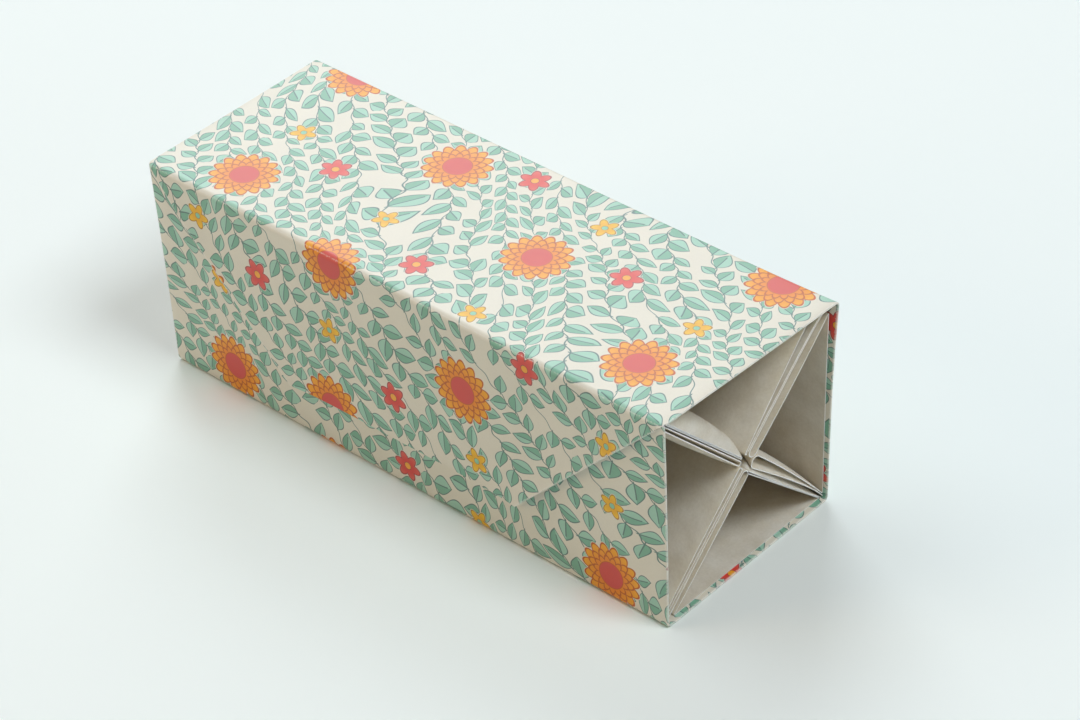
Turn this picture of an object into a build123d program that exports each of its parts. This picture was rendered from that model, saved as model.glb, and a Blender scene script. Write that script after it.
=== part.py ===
"""A roll-up paper box: a hemmed wrap with a closing flap, rolled square round four folded compartments."""

import os
from math import log, pi, sin, sqrt

from build123d import *

# Driving dimensions, in millimetres. X runs across the box, Y along it and Z up.
box_side = 62.0
box_length = 172.0
paper = 0.3

# The wrap is one ply, with a hem folded inwards at both ends.
hem_width = 19.0
seam_gap = 0.2
fold_radius = 1.5

# The flap is the wrap's last panel, with its two corners folded in behind it at 45 degrees.
flap_depth = 47.0
flap_gap = 0.2
hinge_gap = 0.3
corner_fold_gap = 0.4

# The compartments are troughs with double wings, which meet their neighbours' wings on the diagonals.
end_recess = 1.5
neighbour_gap = 0.3
ply_gap = 0.2
bonded_root = 1.6
long_hole = 4.2
short_hole = 2.7

# How far a wing's inner ply stands off the diagonal, as shares of the box's side: at the open end and well
# inside. The last is the share of the wing at which it stands out most. A compartment's first and second wings
# are seen with its base held downwards.
bow_shares = {
    "bottom": [(0.019, 0.029, 0.50), (0.018, 0.031, 0.50)],
    "right": [(0.016, 0.043, 0.50), (0.021, 0.029, 0.50)],
    "top": [(0.021, 0.047, 0.50), (0.006, 0.060, 0.62)],
    "left": [(0.008, 0.045, 0.52), (0.019, 0.035, 0.50)],
}

# Each section's distance from the open end, as a share of the length, and how much of the bow it has there.
station_shares = [(0.0, 0.0), (0.014, 0.28), (0.030, 0.58), (0.055, 0.86), (0.095, 1.0)]

# Places along a wing at which its curve is drawn.
wing_shares = [0.16, 0.33, 0.5, 0.67, 0.84]

# Quarter turns that take a compartment from the bottom to its own side.
quarter_turns = {"bottom": 0, "right": 1, "top": 2, "left": 3}

# One overrun for every cut.
overrun = 5.0

# Worked out from the sizes above.
half_side = box_side / 2
half_length = box_length / 2
crease_radius = 2 * paper + seam_gap
flap_stand = flap_gap + 2 * paper
core_x = flap_stand / 2
hinge_z = box_side - fold_radius - paper - hinge_gap - paper / 2
cell_half = half_side - 2 * paper
diagonal = cell_half * sqrt(2)

# The cross-section's plane: its middle is the box's axis, its X is the box's X and its Y is up.
section = Plane(origin=(core_x, 0, half_side), x_dir=(1, 0, 0), z_dir=(0, -1, 0))


def carried(sketch, length):
    """A cross-section carried along the box, half of the length each way."""
    return extrude(section * sketch, amount=length / 2, both=True)


def block(low, high):
    """A rectangle in the cross-section, from its lowest to its highest corner."""
    return Pos((low[0] + high[0]) / 2, (low[1] + high[1]) / 2) * Rectangle(high[0] - low[0], high[1] - low[1])


def square_ply(inset):
    """One ply of the square roll, lying the given distance inside its outer face."""
    side = box_side - 2 * inset
    corner = crease_radius - inset
    inner = side - 2 * paper
    return RectangleRounded(side, side, corner) - RectangleRounded(inner, inner, corner - paper)


def seam():
    """What is cut from the roll's upper left corner, where the wrap's free edge stops under its top panel."""
    edge = -half_side + crease_radius
    free_edge = block((-half_side - overrun, half_side - paper - seam_gap), (edge, half_side + overrun))
    hem_end = block((-half_side + 2 * paper, half_side - crease_radius), (edge, half_side + overrun))
    return free_edge + hem_end


def fold_over():
    """The top panel's last stretch, bent down past the free edge to where the flap begins."""
    outer = -half_side - flap_stand
    bend_y = half_side - fold_radius
    bend = Circle(fold_radius) - Circle(fold_radius - paper)
    quarter = bend & block((-fold_radius, 0), (0, fold_radius))
    flat = block((outer + fold_radius, half_side - paper), (-half_side + crease_radius, half_side))
    drop = block((outer, bend_y - paper), (outer + paper, bend_y))
    return flat + Pos(outer + fold_radius, bend_y) * quarter + drop


def beyond_slant(end):
    """What lies beyond the flap's slanted edge at one end of the fold."""
    points = [(0, -overrun, overrun), (0, overrun, -overrun), (0, -overrun, -overrun)]
    corner = extrude(make_face(Polyline(*points, close=True)), amount=2 * overrun, dir=(-1, 0, 0))
    wedge = Pos(core_x - half_side, -half_length, box_side) * corner
    return mirror(wedge, about=Plane.XZ) if end > 0 else wedge


def outer_wrap():
    wall = carried(square_ply(0) - seam() + fold_over(), box_length)
    hem = carried(square_ply(paper) - seam(), hem_width)
    for end in (-1, 1):
        wall += Pos(0, end * (half_length - hem_width / 2), 0) * hem
        wall -= beyond_slant(end)
    return wall


def flap_ply(outer_x, places):
    """One ply of the flap, from places along and up the box's side, with its outer face at a given X."""
    outline = Polyline(*[(outer_x, y, z) for y, z in places], close=True)
    return extrude(make_face(outline), amount=paper, dir=(1, 0, 0))


def closing_flap():
    outer_x = core_x - half_side - flap_stand
    reach = half_length - (box_side - hinge_z)
    foot = half_length - flap_depth
    tip_z = box_side - flap_depth
    flap = flap_ply(outer_x, [(-reach, hinge_z), (reach, hinge_z), (foot, tip_z), (-foot, tip_z)])
    flap += Pos(outer_x + paper / 2, 0, hinge_z) * Rot(90, 0, 0) * Cylinder(paper / 2, 2 * reach)
    # The folded corners lie behind the plate, a little below its hinge.
    shelf = hinge_z - corner_fold_gap
    for end in (-1, 1):
        corner = [(end * (reach - corner_fold_gap), shelf), (end * foot, tip_z), (end * foot, shelf)]
        flap += flap_ply(outer_x + paper, corner)
    return flap


class Wing:
    """One double wing of a compartment in one cross-section."""

    def __init__(self, name, index, full):
        open_share, inner_share, peak = bow_shares[name][index]
        # The wings that reach the box's upper left and lower right corners end further from its axis.
        ends_far = (name in ("bottom", "top")) == (index == 1)
        hole_along, hole_across = (long_hole, short_hole) if ends_far else (short_hole, long_hole)
        self.hand = (-1, 1)[index]
        self.near = neighbour_gap / 2
        self.radius = (hole_across / 2 - self.near) / 2
        self.tip = diagonal - hole_along / 2 - self.radius
        self.tip_off = hole_across / 2
        self.bow = box_side * (open_share + (inner_share - open_share) * full)
        self.swell = log(0.5) / log(peak)

    def at(self, along, off):
        """A point so far up the diagonal from the compartment's lower corner, and so far off it."""
        inwards = cell_half - (along + off) / sqrt(2)
        return (self.hand * inwards, -cell_half + (along - off) / sqrt(2))

    def curve(self, shares, lift):
        """Points on the inner ply's face from root to tip, moved by lift towards the diagonal."""
        root_off = self.near + 2 * paper + ply_gap
        root = root_off + paper * sqrt(2)
        points = []
        for share in shares:
            off = root_off + (self.tip_off - root_off) * share**2 + self.bow * sin(pi * share**self.swell)
            points.append(self.at(root + (self.tip - root) * share, off - lift))
        return points

    def outline(self):
        """The wing's own edges, from its foot on the wrap round to where its inner ply meets the base."""
        face = self.curve([1] + wing_shares[::-1] + [0], 0)
        start = self.at(self.tip, self.near)
        middle = self.at(self.tip + self.radius, self.near + self.radius)
        foot = self.at(self.near, self.near)
        return [Line(foot, start), ThreePointArc(start, middle, face[0]), Spline(*face)]

    def pocket(self):
        """The narrow space between the wing's two plies."""
        back = self.curve([1] + wing_shares[::-1], paper)
        low = self.near + paper
        start = self.at(self.tip, low)
        middle = self.at(self.tip + self.radius - paper, self.near + self.radius)
        foot = self.at(low + bonded_root, low)
        edges = [Line(foot, start), ThreePointArc(start, middle, back[0]), Spline(*back), Line(back[-1], foot)]
        return make_face(edges)


def trough(wings):
    """A compartment's section: its base and two wings, open between the wings' tips."""
    edges = [edge for wing in wings for edge in wing.outline()]
    feet = [wing.at(wing.near, wing.near) for wing in wings]
    roots = [wing.curve([0], 0)[0] for wing in wings]
    return make_face(edges + [Line(*feet), Line(*roots)])


def stations():
    """Each cross-section's place along the box and its share of the bow, from one end to the other."""
    far_half = [(half_length - end_recess - box_length * step, full) for step, full in station_shares]
    near_half = [(-y, full) for y, full in far_half]
    return near_half + far_half[::-1]


def lofted(name, draw):
    """A solid through one compartment's cross-sections, on its own side of the box."""
    turn = Rot(0, 0, 90 * quarter_turns[name])
    sections = []
    for y, full in stations():
        wings = [Wing(name, index, full) for index in (0, 1)]
        sections.append(Pos(0, y, 0) * (section * (turn * draw(wings))))
    return loft(sections, ruled=True)


def compartment(name):
    body = lofted(name, trough)
    body -= lofted(name, lambda wings: wings[0].pocket())
    body -= lofted(name, lambda wings: wings[1].pocket())
    return body


os.makedirs("parts", exist_ok=True)
export_step(outer_wrap(), "parts/outer_wrap.step")
export_step(closing_flap(), "parts/closing_flap.step")
for side in quarter_turns:
    export_step(compartment(side), f"parts/compartment_{side}.step")
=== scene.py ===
import math
from functools import partial
import bpy
import numpy as np
from mathutils import Matrix, Vector


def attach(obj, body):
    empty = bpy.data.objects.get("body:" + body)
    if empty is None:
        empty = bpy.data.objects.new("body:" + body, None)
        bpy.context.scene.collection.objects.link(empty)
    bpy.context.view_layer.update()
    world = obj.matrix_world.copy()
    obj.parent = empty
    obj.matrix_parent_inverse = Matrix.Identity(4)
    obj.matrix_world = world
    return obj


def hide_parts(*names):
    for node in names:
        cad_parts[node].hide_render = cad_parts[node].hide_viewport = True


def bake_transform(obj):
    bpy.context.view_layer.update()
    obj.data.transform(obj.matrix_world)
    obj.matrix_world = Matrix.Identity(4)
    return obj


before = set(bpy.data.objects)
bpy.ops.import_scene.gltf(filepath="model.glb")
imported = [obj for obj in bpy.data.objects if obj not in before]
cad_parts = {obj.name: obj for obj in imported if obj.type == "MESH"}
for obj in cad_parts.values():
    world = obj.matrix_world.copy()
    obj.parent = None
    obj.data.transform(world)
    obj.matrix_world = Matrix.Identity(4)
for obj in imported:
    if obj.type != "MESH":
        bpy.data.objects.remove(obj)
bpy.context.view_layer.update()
print("frame loaded")

mm = 0.001  # shapes are worked out in millimetres and written in metres
rng = np.random.default_rng(11)

# The folded box. X runs across it, Y along it and Z up.
box = {
    "side": 62.0,
    "length": 172.0,
    "axisX": 0.4,  # the flap stands out on the other side
    "paper": 0.26,
    "crease": 1.4,  # outer radius of the long creases
    "foldSteps": 8,  # points round a sharp fold
    "sharpFrom": 38,  # edges that turn by more degrees than this are drawn sharp
    "sag": 0.35,  # how far a hand-folded panel strays from flat
    "steadySag": 0.65,  # share of the top's sag that is there all along the box
    "sideSag": 0.8,  # how far the sides bulge and the whole box leans, as a share of sag
    # Slow waves along the box: millimetres to a radian, and where each one starts.
    "sagWave": (31, 1.1),
    "bulgeWave": (27, 0.7),
    "leanWave": (95, 0.2),
    # How far each corner of the open ends has slipped along the box in rolling: lower left, lower right,
    # upper left, upper right.
    "nearSlip": (0.6, 1.0, 0.1, -1.4),
    "farSlip": (-1.8, -1.1, 0.4, 1.1),
}
halfLength = box["length"] / 2
halfPly = box["paper"] / 2
left = box["axisX"] - box["side"] / 2
right = box["axisX"] + box["side"] / 2


def wave(y, shape):
    stretch, start = shape
    return np.sin(y / stretch + start)


def settle(points):
    # Panels of folded paper are never quite flat: the top sags, the sides bulge and the box leans a little.
    x, y, z = points[..., 0], points[..., 1], points[..., 2]
    across = (x - box["axisX"]) / (box["side"] / 2)
    up = z / box["side"]
    middle = np.cos(np.clip(across, -1, 1) * math.pi / 2)
    steady = box["steadySag"]
    sink = box["sag"] * up * middle * (steady + (1 - steady) * wave(y, box["sagWave"]))
    sideSag = box["sag"] * box["sideSag"]
    bulge = sideSag * across * np.sin(np.clip(up, 0, 1) * math.pi) * wave(y, box["bulgeWave"])
    lean = sideSag * up * wave(y, box["leanWave"])
    a, b = (np.clip(across, -1, 1) + 1) / 2, np.clip(up, 0, 1)
    corners = np.stack([(1 - a) * (1 - b), a * (1 - b), (1 - a) * b, a * b], axis=-1)
    share = (y / halfLength + 1) / 2
    slip = (corners @ box["nearSlip"]) * (1 - share) + (corners @ box["farSlip"]) * share
    return np.stack([x + bulge + lean, y + slip, z - sink], axis=-1)


def makeSheet(name, shells, finishes):
    # Each shell is one stretch of paper: the same grid of points on its two faces, and its place on the flat
    # sheet. The finishes are those of the front, the back and, where it has its own, the cut edge.
    points, faces, finish, flatUv = [], [], [], []
    base = 0
    for front, back, flat in shells:
        rows, columns = front.shape[:2]
        count = rows * columns
        points.append(settle(np.concatenate([front.reshape(-1, 3), back.reshape(-1, 3)])))
        flatUv.append(np.concatenate([flat.reshape(-1, 2), flat.reshape(-1, 2)]))
        index = np.arange(count).reshape(rows, columns) + base
        quads = np.stack([index[:-1, :-1], index[:-1, 1:], index[1:, 1:], index[1:, :-1]], axis=-1)
        quads = quads.reshape(-1, 4)
        border = np.concatenate([index[0, :-1], index[:-1, -1], index[-1, :0:-1], index[:0:-1, 0]])
        ahead = np.roll(border, -1)
        rim = np.stack([border, border + count, ahead + count, ahead], axis=-1)
        for number, part in enumerate((quads, quads[:, ::-1] + count, rim)):
            faces.append(part)
            finish.append(np.full(len(part), min(number, len(finishes) - 1)))
        base += 2 * count
    points, faces, finish, flatUv = (np.concatenate(part) for part in (points, faces, finish, flatUv))
    mesh = bpy.data.meshes.new(name)
    mesh.from_pydata((points * mm).tolist(), [], faces.tolist())
    mesh.polygons.foreach_set("material_index", finish.astype(np.int32))
    layer = mesh.uv_layers.new(name="sheet")
    layer.data.foreach_set("uv", flatUv[faces.reshape(-1)].astype(np.float32).reshape(-1))
    mesh.shade_smooth()
    mesh.set_sharp_from_angle(angle=math.radians(box["sharpFrom"]))
    for material in finishes:
        mesh.materials.append(material)
    piece = bpy.data.objects.new(name, mesh)
    bpy.context.scene.collection.objects.link(piece)
    return piece


def foldBack(past, radius):
    # A ply that turns back on itself. past is how far a point lies beyond the fold on the flat sheet. What
    # comes back is how far along it ends up, how far behind the first ply, and how far it has turned.
    reach = math.pi * radius / 2
    turn = np.clip((past + reach) / radius, 0, math.pi)
    along = np.where(past < -reach, past, np.where(past > reach, -past, radius * np.sin(turn) - reach))
    return along, radius * (1 - np.cos(turn)), turn


def spaced(start, end, step):
    return np.linspace(start, end, max(2, int(abs(end - start) / step) + 1))


def linear(hexColour):
    parts = [int(hexColour[i:i + 2], 16) / 255 for i in (1, 3, 5)]
    return tuple(c / 12.92 if c <= 0.04045 else ((c + 0.055) / 1.055) ** 2.4 for c in parts) + (1.0,)


def addNode(tree, kind, inputs=(), **settings):
    node = tree.nodes.new("ShaderNode" + kind)
    for key, value in settings.items():
        setattr(node, key, value)
    for place, value in inputs.items() if isinstance(inputs, dict) else enumerate(inputs):
        if isinstance(value, bpy.types.Node):
            value = value.outputs[0]
        if isinstance(value, bpy.types.NodeSocket):
            tree.links.new(value, node.inputs[place])
        else:
            node.inputs[place].default_value = value
    return node


def startMaterial(name):
    # An empty material, and addNode for its own nodes.
    material = bpy.data.materials.new(name)
    material.use_nodes = True
    material.node_tree.nodes.clear()
    return material, partial(addNode, material.node_tree)


# The print: leaves on winding stems, round daisies and small blossoms, in millimetres of the flat sheet.
leafPrint = {
    "strip": 8.9,  # between two stems
    "spacing": 5.9,  # between leaves on one side of a stem
    "slope": -0.85,  # how the stems cross the sheet, in radians
    "sway": 0.4,  # how far a stem swings towards each leaf
    "swayStart": -0.5,  # in radians of its swing
    "wander": 15.0,  # how far stems and leaves stray from straight rows
    "wanderSize": 40.0,  # over about this length
    "root": 0.08,  # how far up its row a leaf starts, as a share of the row
    "stalk": 0.5,  # bare rib before the leaf begins
    "tilt": (-1.0, -0.56),  # the steepest and the flattest leaf, in radians
    "leaf": 6.8,  # length of the largest
    "sizes": (0.68, 1.0),  # of the smallest and the largest, as shares of that
    "halfWidth": 2.2,
    "fullness": 0.82,  # under 1 a leaf is widest nearer to its stem
    "stripMargin": 0.6,  # how far a leaf stops short of its strip's edge
    "rowMargin": 0.3,  # and of its row's
    "missing": 0.06,  # share of the leaves that are left out
    "rib": 0.8,  # the rib's length, as a share of the leaf's
    "line": 0.14,  # about half of a line's width
    "lineFade": (0.6, 1.3),  # from where to where it fades, as shares of that
    "edgeFade": 0.05,  # how softly a leaf's colour ends
    "outOfReach": 9.0,  # how far what isn't drawn is moved away
    "light": "#a3cdb7",
    "deep": "#7eb297",
    "outline": "#5f7c75",
}
fading = {"To Min": 1.0, "To Max": 0.0}  # for a range that is full at its low end


def drawLeaves(add, flat, ground):
    look = leafPrint
    drift = add("TexNoise", {"Vector": flat, "Scale": 1 / look["wanderSize"], "Detail": 1.0},
                noise_dimensions="2D")
    bent = add("VectorMath", [drift.outputs["Color"], (look["wander"], look["wander"], 0), flat],
               operation="MULTIPLY_ADD")
    bent = add("VectorRotate", {"Vector": bent, "Angle": look["slope"]}, rotation_type="Z_AXIS")
    cells = add("VectorMath", [bent, (look["strip"], look["spacing"], 1)], operation="DIVIDE")
    place = add("SeparateXYZ", [cells])
    strip = add("Math", [place.outputs[0]], operation="FLOOR")
    across = add("Math", [place.outputs[0]], operation="FRACT")
    across = add("Math", [across, 0.5], operation="SUBTRACT")
    # Each stem starts at its own height and grows up or down the sheet.
    chance = add("TexWhiteNoise", {"W": strip}, noise_dimensions="1D")
    heading = add("Math", [chance, 0.5], operation="SUBTRACT")
    heading = add("Math", [heading], operation="SIGN")
    shifted = add("Math", [place.outputs[1], heading, chance], operation="MULTIPLY_ADD")
    swing = add("Math", [shifted, 2 * math.pi, look["swayStart"]], operation="MULTIPLY_ADD")
    swing = add("Math", [swing], operation="COSINE")
    offStem = add("Math", [swing, look["sway"] / look["strip"], across], operation="MULTIPLY_ADD")
    offStem = add("Math", [offStem], operation="ABSOLUTE")
    offStem = add("Math", [offStem, look["strip"]], operation="MULTIPLY")
    # Leaves stand by turns on the two sides of their stem.
    side = add("Math", [across, 0.0], operation="GREATER_THAN")
    staggered = add("Math", [side, 0.5, shifted], operation="MULTIPLY_ADD")
    row = add("Math", [staggered], operation="FLOOR")
    leafId = add("CombineXYZ", [strip, row, side])
    leafChance = add("SeparateXYZ", [add("TexWhiteNoise", {"Vector": leafId}).outputs["Color"]])
    outward = add("Math", [across], operation="ABSOLUTE")
    outward = add("Math", [outward, look["strip"]], operation="MULTIPLY")
    upward = add("Math", [staggered], operation="FRACT")
    upward = add("Math", [upward, look["root"]], operation="SUBTRACT")
    upward = add("Math", [upward, look["spacing"]], operation="MULTIPLY")
    steep, flattest = look["tilt"]
    tilt = add("MapRange", {"Value": leafChance.outputs[0], "To Min": steep, "To Max": flattest})
    turned = add("VectorRotate", {"Vector": add("CombineXYZ", [outward, upward]), "Angle": tilt},
                 rotation_type="Z_AXIS")
    leafPlace = add("SeparateXYZ", [turned])
    smallest, largest = look["sizes"]
    size = add("MapRange", {"Value": leafChance.outputs[1], "To Min": smallest, "To Max": largest})
    # A leaf that stands out is short enough to end inside its own strip, and a steep one inside its row.
    room = add("Math", [look["strip"] / 2 - look["stripMargin"], add("Math", [tilt], operation="COSINE")],
               operation="DIVIDE")
    rise = add("Math", [look["rowMargin"] - (1 - look["root"]) * look["spacing"],
                        add("Math", [tilt], operation="SINE")], operation="DIVIDE")
    length = add("Math", [size, look["leaf"]], operation="MULTIPLY")
    length = add("Math", [length, room], operation="MINIMUM")
    length = add("Math", [length, rise], operation="MINIMUM")
    past = add("Math", [leafPlace.outputs[0], look["stalk"]], operation="SUBTRACT")
    past = add("Math", [past, length], operation="DIVIDE")
    swell = add("Math", [past, look["fullness"]], operation="POWER")
    swell = add("Math", [swell, math.pi], operation="MULTIPLY")
    swell = add("Math", [swell], operation="SINE")
    halfWidth = add("Math", [swell, size], operation="MULTIPLY")
    halfWidth = add("Math", [halfWidth, look["halfWidth"]], operation="MULTIPLY")
    missing = add("Math", [leafChance.outputs[2], look["missing"]], operation="LESS_THAN")
    fromRib = add("Math", [leafPlace.outputs[1]], operation="ABSOLUTE")
    outside = add("Math", [fromRib, halfWidth], operation="SUBTRACT")
    outside = add("Math", [missing, look["outOfReach"], outside], operation="MULTIPLY_ADD")
    inLeaf = add("MapRange", {"Value": outside, "From Min": -look["edgeFade"], "From Max": look["edgeFade"],
                              **fading})
    # Lines: the leaf's edge, its rib down to the stem, and the stem.
    rib = add("Math", [past, look["rib"]], operation="GREATER_THAN")
    rib = add("Math", [rib, look["outOfReach"], fromRib], operation="MULTIPLY_ADD")
    rib = add("Math", [missing, look["outOfReach"], rib], operation="MULTIPLY_ADD")
    nearest = add("Math", [add("Math", [outside], operation="ABSOLUTE"), rib], operation="MINIMUM")
    nearest = add("Math", [nearest, offStem], operation="MINIMUM")
    fadeStart, fadeEnd = look["lineFade"]
    lines = add("MapRange", {"Value": nearest, "From Min": look["line"] * fadeStart,
                             "From Max": look["line"] * fadeEnd, **fading})
    half = add("Math", [leafPlace.outputs[1], 0.0], operation="GREATER_THAN")
    leafColour = add("MixRGB", [half, linear(look["light"]), linear(look["deep"])])
    filled = add("MixRGB", [inLeaf, ground, leafColour])
    return add("MixRGB", [lines, filled, linear(look["outline"])])


# One of each kind of flower stands on about every 45 mm square of paper.
flowerGrid = {
    "cell": 45.0,
    "rowShift": 0.37,  # how far each row is moved from the last, as a share of a square
    "turn": 6.0,  # the most that a flower is turned, in radians
    "tipFrom": 0.45,  # where the petals start to pale towards their tips, as a share of the radius
    "bare": (0.2, 0.3),  # a little bare paper is left round each flower
    "edgeFade": 0.5,  # how softly its lines end, as a share of half their width
}
# A flower's offset is in squares of that grid. Its ring gives a petal's middle, half length and half width
# as shares of the radius, and inner the sizes of a double flower's inner rings.
flowerPrint = [
    {   # yellow star blossoms
        "offset": (0.5, 0.04), "seed": 3.0, "stray": 5.0, "radius": 3.5, "petals": 5, "inner": (),
        "petal": "#ecb000", "tip": "#f3c41a", "edge": "#b8811c", "centre": "#8cc7a5", "core": 0.9,
        "ring": (0.56, 0.46, 0.30), "line": 0.10,
    },
    {   # coral blossoms
        "offset": (0.315, 0.46), "seed": 7.0, "stray": 5.0, "radius": 4.2, "petals": 6, "inner": (),
        "petal": "#dc4236", "tip": "#e05f50", "edge": "#a5403f", "centre": "#f3a826", "core": 1.15,
        "ring": (0.58, 0.43, 0.30), "line": 0.11,
    },
    {   # large daisies
        "offset": (0.0, 0.0), "seed": 0.0, "stray": 11.0, "radius": 9.0, "petals": 15, "inner": (0.80, 0.62),
        "petal": "#ea8800", "tip": "#f4ac00", "edge": "#c25a00", "centre": "#d64a3e", "core": 3.9,
        "ring": (0.68, 0.33, 0.175), "line": 0.12,
    },
]


def drawPetals(add, away, angle, look, scale, shift):
    # One ring of rounded petals: how far a point lies outside the nearest one, in millimetres.
    reach, halfLong, halfWide = (part * look["radius"] * scale for part in look["ring"])
    turn = add("Math", [angle, look["petals"] / (2 * math.pi), shift], operation="MULTIPLY_ADD")
    offAxis = add("Math", [turn, 0.5], operation="PINGPONG")
    offAxis = add("Math", [offAxis, 2 * math.pi / look["petals"]], operation="MULTIPLY")
    aside = add("Math", [add("Math", [offAxis], operation="SINE"), away], operation="MULTIPLY")
    aside = add("Math", [aside, halfWide], operation="DIVIDE")
    outward = add("Math", [away, reach], operation="SUBTRACT")
    outward = add("Math", [outward, halfLong], operation="DIVIDE")
    oval = add("VectorMath", [add("CombineXYZ", [aside, outward])], operation="LENGTH").outputs["Value"]
    outside = add("Math", [oval, 1.0], operation="SUBTRACT")
    return add("Math", [outside, halfWide], operation="MULTIPLY")


def drawFlowers(add, flat, ground, under, look):
    grid = flowerGrid
    cells = add("VectorMath", [flat, (1 / grid["cell"],) * 3, look["offset"] + (0,)],
                operation="MULTIPLY_ADD")
    place = add("SeparateXYZ", [cells])
    row = add("Math", [place.outputs[1]], operation="FLOOR")
    sideways = add("Math", [row, grid["rowShift"], place.outputs[0]], operation="MULTIPLY_ADD")
    column = add("Math", [sideways], operation="FLOOR")
    chance = add("TexWhiteNoise", {"Vector": add("CombineXYZ", [column, row, look["seed"]])})
    inCell = add("CombineXYZ", [add("Math", [sideways], operation="FRACT"),
                                add("Math", [place.outputs[1]], operation="FRACT")])
    inCell = add("VectorMath", [inCell, (grid["cell"],) * 3], operation="MULTIPLY")
    middle = (grid["cell"] - look["stray"]) / 2
    centre = add("VectorMath", [chance.outputs["Color"], (look["stray"], look["stray"], 0),
                                (middle, middle, 0)], operation="MULTIPLY_ADD")
    offset = add("VectorMath", [inCell, centre], operation="SUBTRACT")
    spot = add("SeparateXYZ", [offset])
    away = add("VectorMath", [offset], operation="LENGTH").outputs["Value"]
    angle = add("Math", [spot.outputs[1], spot.outputs[0]], operation="ARCTAN2")
    angle = add("Math", [chance.outputs["Value"], grid["turn"], angle], operation="MULTIPLY_ADD")
    towardTip = add("MapRange", {"Value": away, "From Min": look["radius"] * grid["tipFrom"],
                                 "From Max": look["radius"]})
    petalColour = add("MixRGB", [towardTip, linear(look["petal"]), linear(look["tip"])])
    edge, line = linear(look["edge"]), look["line"]
    soft = line * grid["edgeFade"]
    # Each layer of ink covers the ones before it where a distance is small. The list gives which distance,
    # from where to where the layer fades, and the ink.
    layers = []
    for number, scale in enumerate((1.0,) + look["inner"]):
        outside = drawPetals(add, away, angle, look, scale, number / 2)
        if number == 0:
            layers.append((outside, *grid["bare"], ground))
        layers.append((outside, line, line + soft, edge))
        layers.append((outside, -line - soft, -line, petalColour))
    layers.append((away, look["core"], look["core"] + soft, edge))
    layers.append((away, look["core"] - line * 2, look["core"] - line, linear(look["centre"])))
    colour = under
    for distance, fadeStart, fadeEnd, ink in layers:
        share = add("MapRange", {"Value": distance, "From Min": fadeStart, "From Max": fadeEnd, **fading})
        colour = add("MixRGB", [share, colour, ink])
    return colour


printedFace = {
    "ground": "#e4ddcb",
    # the pale fold colour: rubbed-off ink and a painted highlight along the folds
    "rubAndHighlight": "#f2efe6",
    "roughness": (0.32, 0.46),
    "ior": 1.5,
    "fibreScale": 1.6,  # to a millimetre: fibres of about 0.6 mm, coarser than real ones so that they show
    "cloudScale": 0.09,
    "fibreShade": 0.97,  # how dark fibres and clouds get, where 1 is the ink's own tone
    "cloudShade": 0.965,
    "bump": 0.25,
    "bumpHeight": 0.03,
    # On the flat sheet, from the wrap's free edge: the top panel's middle and half of its width, and where
    # the flap's slanted folds would meet.
    "topMiddle": 214.36,
    "topHalf": 30.99,
    "slantPeak": 330.92,
    "softer": 0.3,  # the long folds are soft bends, hardly rubbed and given little painted highlight
    "rubAndHighlightFade": (0.128, 0.48),  # from where to where a pale fold line, rubbed ink and painted highlight, fades beside its fold
    "mostRubAndHighlight": 0.6,  # how pale the line gets on the fold, from rubbed-off ink and painted highlight
    "ragged": 1.1,  # how far the fibres break up the line's edge
}


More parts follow.
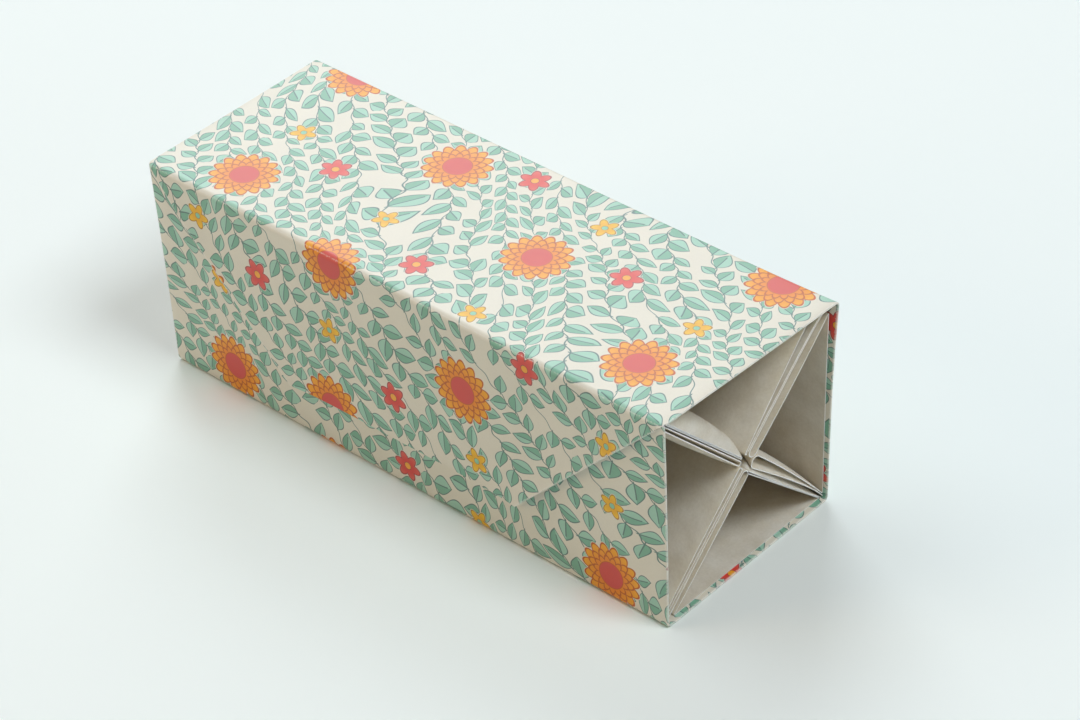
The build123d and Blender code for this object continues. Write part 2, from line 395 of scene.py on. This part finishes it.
def makePrintedPaper():
    # Offset-printed craft paper, lightly calendered: flat ink colours under a faint, even sheen, with pale
    #     lines where the sheet is folded, partly rubbed-off ink and partly a painted highlight.
    look = printedFace
    material, add = startMaterial("offsetPrintedPaper")
    flat = add("UVMap", uv_map="sheet")
    fibre = add("TexNoise", {"Vector": flat, "Scale": look["fibreScale"], "Detail": 4.0, "Roughness": 0.65},
                noise_dimensions="2D")
    cloud = add("TexNoise", {"Vector": flat, "Scale": look["cloudScale"], "Detail": 2.0},
                noise_dimensions="2D")
    ground = add("RGB")
    ground.outputs[0].default_value = linear(look["ground"])
    colour = drawLeaves(add, flat, ground)
    for kind in flowerPrint:
        colour = drawFlowers(add, flat, ground, colour, kind)
    # Folds drawn pale, partly as rubbed-off ink and partly as a painted highlight: the two upper long ones,
    #     # the ends' and the flap's slanted ones.
    place = add("SeparateXYZ", [flat])
    toCrease = add("Math", [place.outputs[0], look["topMiddle"]], operation="SUBTRACT")
    toCrease = add("Math", [toCrease], operation="ABSOLUTE")
    toCrease = add("Math", [toCrease, look["topHalf"]], operation="SUBTRACT")
    toCrease = add("Math", [toCrease], operation="ABSOLUTE")
    toCrease = add("Math", [toCrease, look["softer"]], operation="ADD")
    offMiddle = add("Math", [place.outputs[1]], operation="ABSOLUTE")
    toEnd = add("Math", [offMiddle, halfLength], operation="SUBTRACT")
    toEnd = add("Math", [toEnd], operation="ABSOLUTE")
    toSlant = add("Math", [offMiddle, place.outputs[0]], operation="ADD")
    toSlant = add("Math", [toSlant, look["slantPeak"]], operation="SUBTRACT")
    toSlant = add("Math", [toSlant], operation="ABSOLUTE")
    toSlant = add("Math", [toSlant, math.sqrt(0.5)], operation="MULTIPLY")
    toFold = add("Math", [toCrease, toEnd], operation="MINIMUM")
    toFold = add("Math", [toFold, toSlant], operation="MINIMUM")
    ragged = add("Math", [fibre, 0.5], operation="SUBTRACT")
    ragged = add("Math", [ragged, look["ragged"], toFold], operation="MULTIPLY_ADD")
    fadeStart, fadeEnd = look["rubAndHighlightFade"]
    # Painted highlight and rubbed ink together: the folds are drawn paler than the print round them.
    rubAndHighlight = add("MapRange", {"Value": ragged, "From Min": fadeStart, "From Max": fadeEnd,
                            "To Min": look["mostRubAndHighlight"], "To Max": 0.0})
    colour = add("MixRGB", [rubAndHighlight, colour, linear(look["rubAndHighlight"])])
    shade = add("MapRange", {"Value": cloud, "From Min": 0.25, "From Max": 0.75,
                             "To Min": look["cloudShade"]})
    grain = add("MapRange", {"Value": fibre, "From Min": 0.3, "From Max": 0.7, "To Min": look["fibreShade"]})
    colour = add("VectorMath", [colour, add("Math", [shade, grain], operation="MULTIPLY")],
                 operation="MULTIPLY")
    bump = add("Bump", {"Strength": look["bump"], "Distance": look["bumpHeight"] * mm, "Height": fibre})
    smoothest, roughest = look["roughness"]
    rough = add("MapRange", {"Value": fibre, "To Min": smoothest, "To Max": roughest})
    surface = add("BsdfPrincipled", {"Base Color": colour, "Roughness": rough, "Normal": bump,
                                     "IOR": look["ior"]})
    add("OutputMaterial", [surface])
    return material


plainPaper = {
    "fibreScale": 1.3,  # to a millimetre: fibres of about 0.8 mm, drawn coarse enough to show
    "cloudScale": 0.16,
    "cloudShare": 0.6,  # the rest of the change in tone comes from the fibres
    "bump": 0.35,
    "bumpHeight": 0.04,
    "roughness": (0.72, 0.9),
    "ior": 1.47,
    "glow": 0.6,  # how much of the light goes through the paper, and how far
    "glowDepth": 0.8,
    "glowTint": (1.0, 0.9, 0.75),
}


def makePlainPaper(name, dark, light):
    # Uncoated white paper, machine-made: matt, with faint cloudy formation, short fibres and little gloss.
    look = plainPaper
    material, add = startMaterial(name)
    flat = add("UVMap", uv_map="sheet")
    fibre = add("TexNoise", {"Vector": flat, "Scale": look["fibreScale"], "Detail": 5.0, "Roughness": 0.7},
                noise_dimensions="2D")
    cloud = add("TexNoise", {"Vector": flat, "Scale": look["cloudScale"], "Detail": 3.0},
                noise_dimensions="2D")
    cloudPart = add("Math", [cloud, look["cloudShare"]], operation="MULTIPLY")
    fibrePart = add("Math", [fibre, 1 - look["cloudShare"]], operation="MULTIPLY")
    mixed = add("Math", [cloudPart, fibrePart], operation="ADD")
    tone = add("MapRange", {"Value": mixed, "From Min": 0.35, "From Max": 0.65})
    colour = add("MixRGB", [tone, linear(dark), linear(light)])
    bump = add("Bump", {"Strength": look["bump"], "Distance": look["bumpHeight"] * mm, "Height": fibre})
    smoothest, roughest = look["roughness"]
    rough = add("MapRange", {"Value": fibre, "To Min": smoothest, "To Max": roughest})
    surface = add("BsdfPrincipled", {"Base Color": colour, "Roughness": rough, "Normal": bump,
                                     "IOR": look["ior"], "Subsurface Weight": look["glow"],
                                     "Subsurface Radius": look["glowTint"],
                                     "Subsurface Scale": look["glowDepth"] * mm})
    add("OutputMaterial", [surface])
    return material


printedPaper = makePrintedPaper()
sheetBack = makePlainPaper("uncoatedSheetBack", "#ece8df", "#f6f3ec")
# The compartments' white paper is drawn darker and browner than the sheet's back: painted shade for the
# insides of the compartments.
shadedTroughPaper = makePlainPaper("foldedPaperWithPaintedShade", "#d6cbb8", "#e6ddcd")
cutEdge = makePlainPaper("knifeCutPaperEdge", "#f2efe8", "#fbfaf6")
print("materials made")


# The wrap: one printed sheet rolled round all four sides, with a hem folded inwards at both ends.
wrap = {
    "hem": 19.0,
    "hemRadius": 0.14,
    "freeEdge": 61.4,  # height at which the sheet's first edge stops under the top panel
    "flare": 1.0,  # how far the upper right corner stands away at the near end
    "flareFrom": (5, 30),  # across and up, where that starts
    "flareReach": 16,  # and how far along the box it dies out
    "step": 2.4,  # between points on a panel
    "hemStep": 3,  # and on a hem
    "arcSteps": 6,  # round a long crease
}
# The flap: the same sheet carried over the upper edge, its two corners folded in behind it.
flap = {
    "depth": 47.0,  # from the top
    "stand": 0.8,  # from the wall behind it to its outer face
    "bend": 1.5,  # outer radius of the soft bend it hangs from
    "foldRadius": 0.14,
    "lift": 0.5,  # how far its free edge springs away from the wall
    "spring": 1.45,  # and its slanted edges, which are thicker
    "springReach": 7,  # how far in from those edges it dies out
    "springGrowth": 5,  # full from a fifth of the way down
    "hinge": 59.75,  # height of the line that it swings on
    "hingeZone": 0.9,  # how far above and below that the paper bends
    "bendSteps": 9,
    "hingeRows": (0.2, 1.8, 6),  # closer rows, from where to where below the bend, and how many
    "step": 1.8,
    "columns": 73,
    "cornerColumns": 22,
    "cornerStart": 2.2,  # how far down the slanted folds begin
}

flapX = left - flap["stand"]
bendCentre = (flapX + flap["bend"], box["side"] - flap["bend"])
bendRadius = flap["bend"] - halfPly
bendRun = bendRadius * math.pi / 2  # round the soft bend
slantStart = bendRun - flap["bend"]


def wrapProfile():
    # The sheet's middle from its free edge round to the bend, with the outward normals and the run along it.
    top, crease = box["side"], box["crease"]
    corners = [(left, wrap["freeEdge"]), (left, crease), (left + crease, 0), (right - crease, 0),
               (right, crease), (right, top - crease), (right - crease, top), (bendCentre[0], top)]
    centres = [(left + crease, crease, math.pi), (right - crease, crease, 1.5 * math.pi),
               (right - crease, top - crease, 2 * math.pi)]
    points, normals = [], []
    for number in range(4):
        start, end = np.array(corners[2 * number]), np.array(corners[2 * number + 1])
        way = (end - start) / np.linalg.norm(end - start)
        normal = np.array([way[1], -way[0]])
        for share in spaced(0, np.linalg.norm(end - start), wrap["step"]):
            points.append(start + way * share - normal * halfPly)
            normals.append(normal)
        if number < len(centres):
            x, z, angle = centres[number]
            for a in angle + np.linspace(0, math.pi / 2, wrap["arcSteps"] + 1)[1:-1]:
                normals.append(np.array([math.cos(a), math.sin(a)]))
                points.append(np.array([x, z]) + normals[-1] * (crease - halfPly))
    points, normals = np.array(points), np.array(normals)
    run = np.concatenate([[0], np.cumsum(np.linalg.norm(np.diff(points, axis=0), axis=1))])
    return points, normals, run


def makeWrap():
    # The second result is the run at which the flap starts.
    points, normals, run = wrapProfile()
    reach = math.pi * wrap["hemRadius"] / 2
    half = np.concatenate([spaced(0, halfLength - reach, wrap["step"])[:-1],
                           halfLength + np.linspace(-reach, reach, box["foldSteps"]),
                           halfLength + spaced(reach, wrap["hem"], wrap["hemStep"])[1:]])
    y = np.concatenate([-half[:0:-1], half])
    end = np.sign(y)
    along, inward, turn = foldBack(np.abs(y) - halfLength, wrap["hemRadius"])
    placeY = end * (halfLength + along)
    middle = points[:, None, :] - normals[:, None, :] * inward[None, :, None]
    # The upper right corner stands away from the compartments at the near end.
    fromX, fromZ = wrap["flareFrom"]
    flare = np.clip((points - (fromX, fromZ)) / (right - fromX, box["side"] - fromZ), 0, 1)
    flare = flare.prod(axis=1) ** 2
    middle[..., 0] += wrap["flare"] * flare[:, None] * np.exp(-(halfLength + placeY) / wrap["flareReach"])
    faceX = normals[:, None, 0] * np.cos(turn)[None, :]
    faceZ = normals[:, None, 1] * np.cos(turn)[None, :]
    faceY = np.broadcast_to(end * np.sin(turn), faceX.shape)
    centre = np.stack([middle[..., 0], np.broadcast_to(placeY, faceX.shape), middle[..., 1]], axis=-1)
    facing = np.stack([faceX, faceY, faceZ], axis=-1) * halfPly
    flat = np.stack(np.broadcast_arrays(run[:, None], y[None, :]), axis=-1)
    shell = (centre + facing, centre - facing, flat)
    return makeSheet("printedWrap", [shell], [printedPaper, sheetBack]), run[-1]


wrapPiece, flapStart = makeWrap()
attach(wrapPiece, "box")
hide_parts("outer_wrap")
print("wrap made", len(wrapPiece.data.polygons))


def flapPath(depth, y, inward):
    # Middle of the flap's ply at a run from where the bend starts, and the directions out of it and along it.
    angle = math.pi / 2 + np.clip(depth, 0, bendRun) / bendRadius
    normal = np.stack([np.cos(angle), np.sin(angle)], axis=-1)
    way = np.stack([-np.sin(angle), np.cos(angle)], axis=-1)
    straight = np.where(depth < 0, depth, np.where(depth > bendRun, depth - bendRun, 0))
    place = np.array(bendCentre) + normal * (bendRadius - inward)[..., None] + way * straight[..., None]
    hang = np.clip(straight / flap["depth"], 0, 1)
    toSlant = np.maximum(halfLength - straight - np.abs(y), 0)
    growth = np.clip(hang * flap["springGrowth"], 0, 1)
    spring = flap["spring"] * np.exp(-toSlant / flap["springReach"]) * growth
    place[..., 0] -= flap["lift"] * hang ** 1.5 + spring
    return place, normal, way


def flapShell(depth, y, past):
    # past is how far each point lies beyond the slanted fold, measured square to it.
    along, inward, turn = foldBack(past, flap["foldRadius"])
    end = np.sign(y)
    # From the nearest point of the fold, square to it.
    shift = (along - past) / math.sqrt(2)
    placeY = end * (np.abs(y) + shift)
    place, normal, way = flapPath(depth + shift, placeY, inward)
    centre = np.stack([place[..., 0], placeY, place[..., 1]], axis=-1)
    side = np.sin(turn) / math.sqrt(2)
    facing = np.stack([normal[..., 0] * np.cos(turn) + way[..., 0] * side, end * side,
                       normal[..., 1] * np.cos(turn) + way[..., 1] * side], axis=-1) * halfPly
    return centre + facing, centre - facing, np.stack([flapStart + depth, y], axis=-1)


def makeFlap():
    total = slantStart + flap["depth"]
    reach = math.pi * flap["foldRadius"] / 2
    depths = np.concatenate([np.linspace(0, bendRun, flap["bendSteps"]),
                             bendRun + np.linspace(*flap["hingeRows"]),
                             spaced(bendRun, total, flap["step"])[1:]])
    depths = np.unique(depths)
    edge = np.minimum(halfLength, halfLength - (depths - slantStart)) - reach * math.sqrt(2)
    y = edge[:, None] * np.linspace(-1, 1, flap["columns"])[None, :]
    depth = np.broadcast_to(depths[:, None], y.shape)
    past = np.full(y.shape, -1.0)  # short of the slanted fold, where the ply is flat
    shells = [flapShell(depth, y, past)]
    cornerDepths = spaced(slantStart + flap["cornerStart"], total, flap["step"])
    room = cornerDepths - slantStart  # how much of each row is folded behind
    folded = np.linspace(-reach, reach, box["foldSteps"]) * math.sqrt(2)
    shares = np.linspace(0, 1, flap["cornerColumns"])[None, 1:]
    beyond = folded[-1] + (room[:, None] - folded[-1]) * shares
    row = np.concatenate([np.broadcast_to(folded, (len(room), len(folded))), beyond], axis=1)
    depth = np.broadcast_to(cornerDepths[:, None], row.shape)
    for end in (-1, 1):
        corner = flapShell(depth, end * (halfLength - room[:, None] + row), row / math.sqrt(2))
        # At the other end the rows run the other way, so that its faces look outwards too.
        shells.append(tuple(part[:, ::end] for part in corner))
    return makeSheet("printedFlap", shells, [printedPaper, sheetBack])


flapPiece = makeFlap()
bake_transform(flapPiece)
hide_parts("closing_flap")
print("flap made", len(flapPiece.data.polygons))


# Four compartments: troughs whose two walls are double, with a round fold at each tip.
trough = {
    "recess": 1.5,  # from the wrap's hemmed edge
    "cellHalf": 30.4,  # half of the width that the four fill
    "gap": 0.15,  # from the diagonal to the wall's own outer ply
    "longHole": 4.8,  # across the hole on the axis, along the two diagonals
    "shortHole": 3.1,
    "closing": 0.2,  # how much narrower the hole on the axis gets further in
    "pinch": 9.0,  # how far in from the open end the walls reach their full swell
    "outerLead": 1.8,  # the outer plies move over sooner than the inner ones swell
    "rootSharpness": 14,  # how quickly an outer ply leaves the diagonal at its foot
    "innerRoot": 0.42,  # how much further up than off the diagonal an inner ply starts
    "baseLift": 0.02,
    "baseOverlap": 0.1,
    "ripple": 0.07,  # how much the swell comes and goes along the box
    "rippleWave": 19,  # millimetres to a radian
    "rippleStart": 6,  # at most, in radians
    "tilt": 0.35,  # the open ends are cut a touch out of square
    "wallSteps": 30,
    "tipSteps": 11,
    "baseSteps": 16,
    "pinchSteps": 12,
    "step": 6,
}
# How far each wall's plies stand off the diagonal at its root, middle and tip, in millimetres: the inner ply
# at the open end, where it is pressed flat, and well inside, then the outer ply in the same two places. Less
# than zero is on the neighbour's side. The left wall comes first, seen with the compartment's base down.
walls = {
    "bottom": [((2.3, 3.0, 3.2), (2.4, 3.2, 3.2), (0.28, 0.28, 0.28), (0.28, 0.28, 0.28)),
               ((0.75, 1.5, 2.3), (0.9, 2.1, 2.6), (0.40, 1.15, 1.60), (-0.50, -0.80, -0.70))],
    "right": [((1.0, 2.4, 2.9), (2.1, 3.7, 3.9), (0.72, 0.60, -0.60), (1.60, 2.50, 1.10)),
              ((2.2, 2.9, 2.4), (2.4, 3.2, 2.6), (-0.80, -0.80, -0.80), (-0.80, -0.80, -0.80))],
    "top": [((5.2, 3.75, 2.1), (5.4, 4.6, 2.6), (1.40, 1.40, 1.40), (1.40, 1.40, 1.40)),
            ((0.75, 0.75, 0.75), (5.0, 5.6, 4.2), (0.28, 0.28, 0.28), (0.10, -0.05, -0.10))],
    "left": [((1.3, 1.5, 1.6), (2.6, 2.8, 2.6), (0.28, 0.28, 0.28), (0.80, 1.15, 1.25)),
             ((1.4, 1.85, 2.05), (1.6, 2.6, 2.2), (0.28, 0.28, 0.28), (0.28, 0.28, 0.28))],
}
quarterTurns = {"bottom": 0, "right": 1, "top": 2, "left": 3}


def bowed(places, share):
    # A smooth curve through its values at a wall's root, middle and tip.
    root, middle, tip = places
    rest = 1 - share
    return root * rest * (1 - 2 * share) + middle * 4 * share * rest + tip * share * (2 * share - 1)


def wallPath(name, number, full, ripple):
    # One double wall from its foot, up the outer ply, round the tip and down the bowed inner ply, as
    # distances up the diagonal and off it.
    opening, inside, outerOpening, outerInside = walls[name][number]
    share = np.linspace(0, 1, trough["wallSteps"])
    foot = trough["gap"] + halfPly
    shut = min(full * trough["outerLead"], 1)
    outerOff = bowed(outerOpening, share) * (1 - shut) + bowed(outerInside, share) * shut
    outerOff = foot + (outerOff - foot) * (1 - (1 - share) ** trough["rootSharpness"])
    swollen = (inside[0], inside[1] * ripple, inside[2])
    innerOff = bowed(opening, share) * (1 - full) + bowed(swollen, share) * full
    face = outerOff[-1] - halfPly
    radius = (innerOff[-1] - face) / 2
    # The walls that reach the upper left and lower right corners end further from the axis.
    endsFar = (name in ("bottom", "top")) == (number == 1)
    hole = trough["longHole" if endsFar else "shortHole"] * (1 - trough["closing"] * full)
    tip = trough["cellHalf"] * math.sqrt(2) - hole / 2 - radius
    outer = np.stack([foot + (tip - foot) * share, outerOff], axis=-1)
    angle = np.linspace(-math.pi / 2, math.pi / 2, trough["tipSteps"])[1:-1]
    around = np.stack([tip + (radius - halfPly) * np.cos(angle),
                       face + radius + (radius - halfPly) * np.sin(angle)], axis=-1)
    root = innerOff[0] + trough["innerRoot"]
    inner = np.stack([root + (tip - root) * share, innerOff - halfPly], axis=-1)
    return np.concatenate([outer, around, inner[::-1]])


def troughSection(name, full, ripples):
    # The whole trough as one folded strip, seen from its open end with its base down.
    halves = []
    for number, hand in ((0, -1), (1, 1)):
        along, off = wallPath(name, number, full, ripples[number]).T
        halves.append(np.stack([hand * (trough["cellHalf"] - (along + off) / math.sqrt(2)),
                                -trough["cellHalf"] + (along - off) / math.sqrt(2)], axis=-1))
    baseX = np.linspace(halves[0][-1, 0] - trough["baseOverlap"],
                        halves[1][-1, 0] + trough["baseOverlap"], trough["baseSteps"])
    baseZ = np.full(trough["baseSteps"], -trough["cellHalf"] + halfPly + trough["baseLift"])
    path = np.concatenate([halves[0], np.stack([baseX, baseZ], axis=-1), halves[1][::-1]])
    way = np.gradient(path, axis=0)
    way /= np.linalg.norm(way, axis=1)[:, None]
    return path, np.stack([-way[:, 1], way[:, 0]], axis=-1)


def makeTrough(name):
    turn = quarterTurns[name] * math.pi / 2
    spin = np.array([[math.cos(turn), -math.sin(turn)], [math.sin(turn), math.cos(turn)]])
    ends = halfLength - trough["recess"]
    depths = np.concatenate([trough["pinch"] * np.linspace(0, 1, trough["pinchSteps"])[:-1] ** 1.5,
                             spaced(trough["pinch"], ends, trough["step"])])
    y = np.concatenate([-(ends - depths), (ends - depths)[-2::-1]])
    phase = rng.uniform(0, trough["rippleStart"], 2)
    tilts = rng.uniform(-trough["tilt"], trough["tilt"], (2, 2))
    front, back, flat = [], [], []
    for place in y:
        depth = ends - abs(place)
        full = 1 - (1 - min(depth / trough["pinch"], 1)) ** 2
        ripples = 1 + trough["ripple"] * np.sin(place / trough["rippleWave"] + phase)
        path, normal = troughSection(name, full, ripples)
        run = np.concatenate([[0], np.cumsum(np.linalg.norm(np.diff(path, axis=0), axis=1))])
        slope = tilts[0 if place < 0 else 1]
        shift = (slope[0] * path[:, 0] + slope[1] * (path[:, 1] + trough["cellHalf"])) / trough["cellHalf"]
        placeY = place + shift * max(0, 1 - depth / trough["pinch"])
        for faces, sign in ((front, 1), (back, -1)):
            section = (path + normal * halfPly * sign) @ spin.T
            faces.append(np.stack([box["axisX"] + section[:, 0], placeY, box["side"] / 2 + section[:, 1]],
                                  axis=-1))
        flat.append(np.stack([run, placeY], axis=-1))
    shell = tuple(np.array(part) for part in (front, back, flat))
    # Walls and base take the darker paper with its painted shade; the cut edges take their own.
    return makeSheet("trough" + name.capitalize(), [shell], [shadedTroughPaper, shadedTroughPaper, cutEdge])


for name in walls:
    piece = makeTrough(name)
    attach(piece, "box")
    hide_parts("compartment_" + name)
    print("trough made", name, len(piece.data.polygons))


# The studio: a pale seamless floor, four soft lamps and a plain sky that is dimmer on one side.
studio = {
    "floor": "#f7fdf9",
    "floorHalf": 3.0,  # in metres
    "floorDrop": 0.1,  # in millimetres, so that the floor and the box's underside don't share a plane
    "warmSky": "#ffcf9c",
    "coolSky": "#fdf8f2",
    "brightSide": (0.40, -0.45, 0.78),  # the way towards the sky's brighter side
    "skyDim": 0.02,  # on the side away from that
    "skyBright": 0.22,
    "lamps": [
        {"name": "backLamp", "at": (-0.35, 1.05, 1.45), "size": 1.2, "power": 7.3, "colour": "#e8f3ff"},
        {"name": "sheenLamp", "at": (0.85, 0.90, 0.98), "size": 0.8, "power": 9.8, "colour": "#f0f8ff"},
        {"name": "sideLamp", "at": (-0.95, 0.70, 0.55), "size": 0.5, "power": 2.9, "colour": "#ffe2bd"},
        {"name": "frontLamp", "at": (0.15, -1.05, 1.65), "size": 0.8, "power": 19.0, "colour": "#eff7ff"},
    ],
}


def makeFloor():
    # Matt seamless background paper, laid flat: an even, dull surface with hardly any cloudiness.
    material, add = startMaterial("seamlessPaperFloor")
    place = add("TexCoord")
    cloud = add("TexNoise", {"Vector": place.outputs["Object"], "Scale": 2.0, "Detail": 2.0})
    tone = add("MapRange", {"Value": cloud, "To Min": 0.985, "To Max": 1.0})
    colour = add("VectorMath", [linear(studio["floor"])[:3], tone], operation="MULTIPLY")
    surface = add("BsdfPrincipled", {"Base Color": colour, "Roughness": 0.9, "IOR": 1.45})
    add("OutputMaterial", [surface])
    half, height = studio["floorHalf"], -studio["floorDrop"] * mm
    corners = [(-half, -half, height), (half, -half, height), (half, half, height), (-half, half, height)]
    mesh = bpy.data.meshes.new("studioFloor")
    mesh.from_pydata(corners, [], [(0, 1, 2, 3)])
    mesh.materials.append(material)
    floor = bpy.data.objects.new("studioFloor", mesh)
    bpy.context.scene.collection.objects.link(floor)


def makeLight():
    world = bpy.data.worlds.new("plainSky")
    world.use_nodes = True
    world.node_tree.nodes.clear()
    add = partial(addNode, world.node_tree)
    way = add("VectorMath", [add("TexCoord").outputs["Generated"], studio["brightSide"]],
              operation="DOT_PRODUCT").outputs["Value"]
    strength = add("MapRange", {"Value": way, "From Min": -1.0, "From Max": 1.0,
                                "To Min": studio["skyDim"], "To Max": studio["skyBright"]})
    share = add("MapRange", {"Value": way, "From Min": -1.0, "From Max": 1.0})
    tint = add("MixRGB", [share, linear(studio["warmSky"]), linear(studio["coolSky"])])
    sky = add("Background", [tint, strength])
    # What is seen beyond the floor's edge, directly or as a reflection, is as pale as the floor.
    seen = add("Background", [linear(studio["floor"]), 1.0])
    ray = add("LightPath")
    shown = add("Math", [ray.outputs["Is Camera Ray"], ray.outputs["Is Transmission Ray"]],
                operation="MAXIMUM")
    shown = add("Math", [shown, ray.outputs["Is Glossy Ray"]], operation="MAXIMUM")
    add("OutputWorld", [add("MixShader", [shown, sky, seen])])
    bpy.context.scene.world = world
    for look in studio["lamps"]:
        lamp = bpy.data.lights.new(look["name"], "AREA")
        lamp.shape = "SQUARE"
        lamp.size = look["size"]
        lamp.energy = look["power"]
        lamp.color = linear(look["colour"])[:3]
        holder = bpy.data.objects.new(look["name"], lamp)
        holder.location = look["at"]
        holder.rotation_euler = (-Vector(look["at"])).to_track_quat("-Z", "Y").to_euler()
        bpy.context.scene.collection.objects.link(holder)


# Where the photograph was taken from, in degrees and millimetres: a short telephoto lens, turned a little on
# its axis.
viewpoint = {
    "turn": -46.30,
    "rise": 37.14,
    "roll": -2.99,
    "lens": 116.4,
    "sensor": 36.0,
    "clipStart": 0.01,
    "at": (-500.0, -496.5, 554.4),
}


def makeCamera():
    look = viewpoint
    turn, rise, roll = (math.radians(look[key]) for key in ("turn", "rise", "roll"))
    ahead = Vector((-math.sin(turn) * math.cos(rise), math.cos(turn) * math.cos(rise), -math.sin(rise)))
    level = Vector((math.cos(turn), math.sin(turn), 0))
    above = level.cross(ahead)
    rightward = level * math.cos(roll) + above * math.sin(roll)
    upward = above * math.cos(roll) - level * math.sin(roll)
    camera = bpy.data.objects.new("camera", bpy.data.cameras.new("camera"))
    camera.data.lens = look["lens"]
    camera.data.sensor_width = look["sensor"]
    camera.data.clip_start = look["clipStart"]
    rotation = Matrix((rightward, upward, -ahead)).transposed().to_4x4()
    camera.matrix_world = Matrix.Translation(Vector(look["at"]) * mm) @ rotation
    bpy.context.scene.collection.objects.link(camera)
    bpy.context.scene.camera = camera


makeFloor()
makeLight()
makeCamera()
bpy.context.scene.view_settings.view_transform = "Standard"
print("studio made")
